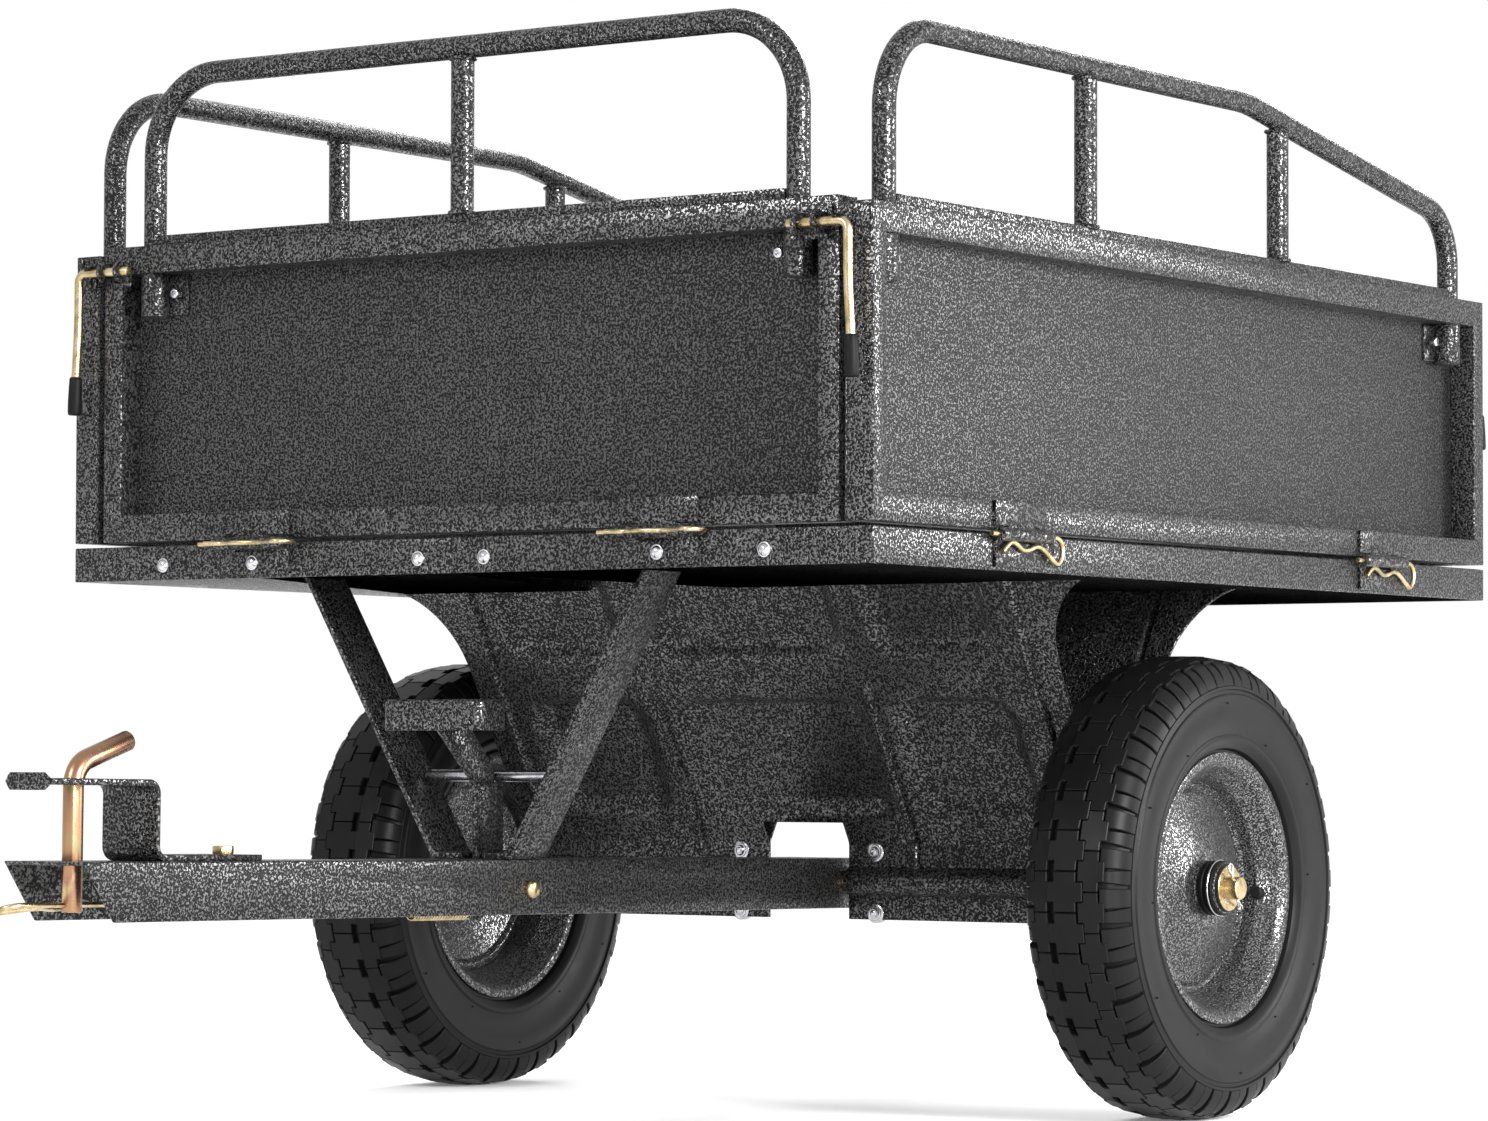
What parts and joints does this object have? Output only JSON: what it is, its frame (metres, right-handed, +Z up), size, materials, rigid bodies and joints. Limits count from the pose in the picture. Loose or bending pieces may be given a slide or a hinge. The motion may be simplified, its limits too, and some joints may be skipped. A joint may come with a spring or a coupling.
{
  "type": "tow behind cart",
  "caption": "Two-wheeled steel tipping trailer for a garden tractor, with fold-down framed panels, removable tube rails, foot latch and a pinned drawbar hitch.",
  "frame": {"origin": "on the ground under the middle of the cart's bounding box", "axes": "+X in the towing direction, +Y to the left wheel, +Z up"},
  "size_m": [1.6423, 0.91, 0.925],
  "materials": {
    "black": "hammertone powder coat",
    "yellow_zinc": "yellow zinc plating",
    "silver_zinc": "bright zinc plating",
    "tyre": "moulded rubber",
    "rubber": "smooth moulded rubber"
  },
  "bodies": {
    "drawbar": {"drawbar_channel": "black", "axle": "yellow_zinc", "axle_washers": "yellow_zinc", "axle_cotters": "silver_zinc", "hitch_plate": "black", "hitch_plate_bolt": "yellow_zinc", "pedal_pivot": "yellow_zinc", "pedal_spring": "yellow_zinc"},
    "wheel_left": {"tyre_left": "tyre", "inner_tube_left": "rubber", "rim_left": "black", "bearings_left": "silver_zinc"},
    "wheel_right": {"tyre_right": "tyre", "inner_tube_right": "rubber", "rim_right": "black", "bearings_right": "silver_zinc"},
    "bed": {"floor_left": "black", "floor_right": "black", "support_front": "black", "support_rear": "black", "brace_left": "black", "brace_right": "black", "latch_striker": "silver_zinc", "floor_bolts": "silver_zinc", "support_bolts": "silver_zinc", "bed_hinges": "black"},
    "pedal": {"pedal_lever": "black", "pedal_pad": "black"},
    "hitch_pin": {"hitch_pin": "yellow_zinc"},
    "hitch_clip": {"hitch_clip": "yellow_zinc"},
    "front_panel": {"front_frame": "black", "front_sheet": "black", "front_fittings": "black", "front_screws": "silver_zinc"},
    "rear_panel": {"rear_frame": "black", "rear_sheet": "black", "rear_fittings": "black"},
    "left_panel": {"left_frame": "black", "left_sheet": "black", "left_fittings": "black", "left_screws": "silver_zinc"},
    "right_panel": {"right_frame": "black", "right_sheet": "black", "right_fittings": "black", "right_screws": "silver_zinc"},
    "front_rail": {"front_rail": "black"},
    "left_rail": {"left_rail": "black"},
    "right_rail": {"right_rail": "black"},
    "latch_front_left": {"latch_front_left": "yellow_zinc", "grip_front_left": "rubber"},
    "latch_front_right": {"latch_front_right": "yellow_zinc", "grip_front_right": "rubber"},
    "latch_rear_left": {"latch_rear_left": "yellow_zinc", "grip_rear_left": "rubber"},
    "latch_rear_right": {"latch_rear_right": "yellow_zinc", "grip_rear_right": "rubber"},
    "front_clips": {"front_clips": "yellow_zinc"},
    "left_clips": {"left_clips": "yellow_zinc"},
    "right_clips": {"right_clips": "yellow_zinc"},
    "rear_clips": {"rear_clips": "yellow_zinc"}
  },
  "joints": [
    {"name": "wheel_left_spin", "type": "hinge", "parent": "drawbar", "child": "wheel_left", "pos_m": [-0.25088, 0.396, 0.203], "axis": [0, 1, 0], "continuous": true},
    {"name": "wheel_right_spin", "type": "hinge", "parent": "drawbar", "child": "wheel_right", "pos_m": [-0.25088, -0.396, 0.203], "axis": [0, 1, 0], "continuous": true},
    {"name": "bed_tip", "type": "hinge", "parent": "drawbar", "child": "bed", "pos_m": [-0.25088, 0, 0.203], "axis": [0, -1, 0], "range_deg": [0, 42]},
    {"name": "pedal_press", "type": "hinge", "parent": "drawbar", "child": "pedal", "pos_m": [0.23013, 0, 0.20503], "axis": [0, 1, 0], "range_deg": [0, 12], "stiffness_Nm_per_rad": 4, "springref_deg": -22.92},
    {"name": "hitch_pin_lift", "type": "slide", "parent": "drawbar", "child": "hitch_pin", "axis": [-0.0117, 0, 0.9999], "range_m": [0, 0.025]},
    {"name": "hitch_clip_pull", "type": "slide", "parent": "hitch_pin", "child": "hitch_clip", "axis": [0.9999, 0, 0.0117], "range_m": [0, 0.1]},
    {"name": "front_panel_fold", "type": "hinge", "parent": "bed", "child": "front_panel", "pos_m": [0.29513, 0, 0.5], "axis": [0, 1, 0], "range_deg": [0, 90]},
    {"name": "rear_panel_fold", "type": "hinge", "parent": "bed", "child": "rear_panel", "pos_m": [-0.79688, 0, 0.5], "axis": [0, -1, 0], "range_deg": [0, 90]},
    {"name": "left_panel_fold", "type": "hinge", "parent": "bed", "child": "left_panel", "pos_m": [-0.25088, 0.429, 0.5], "axis": [-1, 0, 0], "range_deg": [0, 90]},
    {"name": "right_panel_fold", "type": "hinge", "parent": "bed", "child": "right_panel", "pos_m": [-0.25088, -0.429, 0.5], "axis": [1, 0, 0], "range_deg": [0, 90]},
    {"name": "front_rail_lift", "type": "slide", "parent": "front_panel", "child": "front_rail", "axis": [0, 0, 1], "range_m": [0, 0.07]},
    {"name": "left_rail_lift", "type": "slide", "parent": "left_panel", "child": "left_rail", "axis": [0, 0, 1], "range_m": [0, 0.07]},
    {"name": "right_rail_lift", "type": "slide", "parent": "right_panel", "child": "right_rail", "axis": [0, 0, 1], "range_m": [0, 0.07]},
    {"name": "latch_front_left_pull", "type": "slide", "parent": "front_panel", "child": "latch_front_left", "axis": [0, 1, 0], "range_m": [0, 0.045]},
    {"name": "latch_front_right_pull", "type": "slide", "parent": "front_panel", "child": "latch_front_right", "axis": [0, -1, 0], "range_m": [0, 0.045]},
    {"name": "latch_rear_left_pull", "type": "slide", "parent": "rear_panel", "child": "latch_rear_left", "axis": [0, 1, 0], "range_m": [0, 0.045]},
    {"name": "latch_rear_right_pull", "type": "slide", "parent": "rear_panel", "child": "latch_rear_right", "axis": [0, -1, 0], "range_m": [0, 0.045]},
    {"name": "front_clips_pull", "type": "slide", "parent": "bed", "child": "front_clips", "axis": [0, 1, 0], "range_m": [0, 0.1]},
    {"name": "rear_clips_pull", "type": "slide", "parent": "bed", "child": "rear_clips", "axis": [0, 1, 0], "range_m": [0, 0.1]},
    {"name": "left_clips_pull", "type": "slide", "parent": "bed", "child": "left_clips", "axis": [-1, 0, 0], "range_m": [0, 0.1]},
    {"name": "right_clips_pull", "type": "slide", "parent": "bed", "child": "right_clips", "axis": [-1, 0, 0], "range_m": [0, 0.1]}
  ]
}
